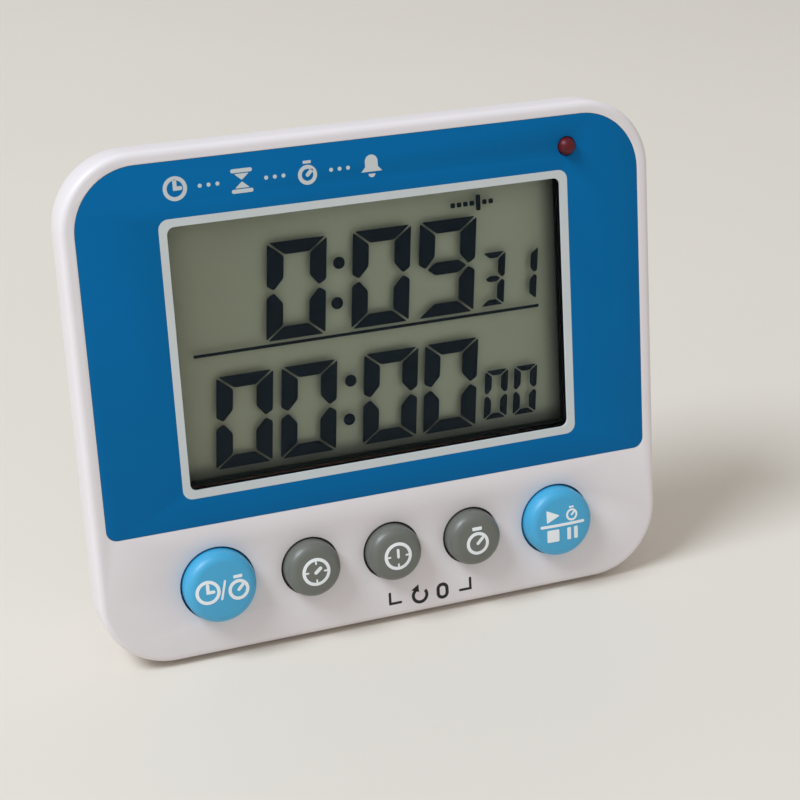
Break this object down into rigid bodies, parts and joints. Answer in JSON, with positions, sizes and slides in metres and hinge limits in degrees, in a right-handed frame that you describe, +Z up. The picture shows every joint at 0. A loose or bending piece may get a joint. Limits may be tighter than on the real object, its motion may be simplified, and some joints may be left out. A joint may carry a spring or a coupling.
{
  "type": "digital lab timer",
  "caption": "Digital bench timer with a large display, a row of push buttons, an alarm lamp, a battery bay and a fold-out rear stand.",
  "frame": {"origin": "on the table under the middle of the standing timer, stand open", "axes": "+X to the right across the face, -Y towards the person reading it, +Z up"},
  "size_m": [0.0988, 0.0474, 0.0828],
  "materials": {
    "case_white": "fine satin moulded ABS",
    "panel_blue": "satin back-printed polycarbonate sheet",
    "window_clear": "clear acrylic",
    "display_glass": "clear display glass",
    "display_grey": "olive grey reflective polariser",
    "gasket_dark": "matt foam",
    "foam_black": "matt foam",
    "zebra_pink": "silicone with fine carbon layers",
    "cap_blue": "satin moulded plastic",
    "cap_grey": "satin moulded plastic",
    "silicone_grey": "matt silicone",
    "carbon_black": "matt carbon-filled silicone",
    "board_green": "solder resist over laminate",
    "epoxy_black": "glossy epoxy",
    "component_tan": "matt ceramic",
    "ceramic_cream": "matt ceramic",
    "bright_metal": "bright tin or nickel plating",
    "spring_steel": "plated spring wire",
    "screw_zinc": "zinc plated",
    "magnet_nickel": "nickel plated",
    "brass": "rolled brass sheet",
    "lamp_red": "clear red epoxy",
    "wire_red": "PVC insulation",
    "wire_black": "PVC insulation",
    "cell_jacket": "printed cell jacket",
    "knob_black": "moulded plastic"
  },
  "bodies": {
    "case": {"front_housing": "case_white", "rear_housing": "case_white", "face_panel": "panel_blue", "display_window": "window_clear", "display_gasket": "gasket_dark", "lcd_front_glass": "display_glass", "lcd_rear_glass": "display_glass", "lcd_reflector": "display_grey", "lcd_pads": "foam_black", "zebra_strip": "zebra_pink", "circuit_board": "board_green", "chip_blob": "epoxy_black", "timing_crystal": "bright_metal", "board_components": "component_tan", "alarm_led": "lamp_red", "led_leads": "bright_metal", "piezo_plate": "brass", "piezo_ceramic": "ceramic_cream", "buzzer_wires": "wire_red", "battery_wires": "wire_black", "keypad_mat": "silicone_grey", "battery_cell_upper": "cell_jacket", "battery_cell_lower": "cell_jacket", "negative_contact": "bright_metal", "positive_contact": "bright_metal", "link_contact": "bright_metal", "battery_springs": "spring_steel", "magnets": "magnet_nickel", "case_screws": "screw_zinc", "board_screws": "screw_zinc", "switch_body": "bright_metal"},
    "mode_key": {"mode_button": "cap_blue", "mode_plunger": "silicone_grey", "mode_pill": "carbon_black"},
    "hour_key": {"hour_button": "cap_grey", "hour_plunger": "silicone_grey", "hour_pill": "carbon_black"},
    "minute_key": {"minute_button": "cap_grey", "minute_plunger": "silicone_grey", "minute_pill": "carbon_black"},
    "second_key": {"second_button": "cap_grey", "second_plunger": "silicone_grey", "second_pill": "carbon_black"},
    "start_stop_key": {"start_stop_button": "cap_blue", "start_stop_plunger": "silicone_grey", "start_stop_pill": "carbon_black"},
    "stand": {"stand": "case_white"},
    "battery_door": {"battery_door": "case_white"},
    "alarm_switch": {"switch_knob": "knob_black", "switch_lever": "knob_black"}
  },
  "joints": [
    {"name": "mode_press", "type": "slide", "parent": "case", "child": "mode_key", "axis": [0, 0.9877, -0.1564], "range_m": [0, 0.0009], "stiffness_N_per_m": 1800},
    {"name": "hour_press", "type": "slide", "parent": "case", "child": "hour_key", "axis": [0, 0.9877, -0.1564], "range_m": [0, 0.0009], "stiffness_N_per_m": 1800},
    {"name": "minute_press", "type": "slide", "parent": "case", "child": "minute_key", "axis": [0, 0.9877, -0.1564], "range_m": [0, 0.0009], "stiffness_N_per_m": 1800},
    {"name": "second_press", "type": "slide", "parent": "case", "child": "second_key", "axis": [0, 0.9877, -0.1564], "range_m": [0, 0.0009], "stiffness_N_per_m": 1800},
    {"name": "start_stop_press", "type": "slide", "parent": "case", "child": "start_stop_key", "axis": [0, 0.9877, -0.1564], "range_m": [0, 0.0009], "stiffness_N_per_m": 1800},
    {"name": "stand_fold", "type": "hinge", "parent": "case", "child": "stand", "pos_m": [0, -0.0034, 0.00922], "axis": [1, 0, 0], "range_deg": [0, 98.1]},
    {"name": "door_lift", "type": "slide", "parent": "case", "child": "battery_door", "axis": [0, 0.9877, -0.1564], "range_m": [0, 0.015]},
    {"name": "switch_slide", "type": "slide", "parent": "case", "child": "alarm_switch", "axis": [0, 0.1564, 0.9877], "range_m": [-0.002, 0.002]}
  ]
}
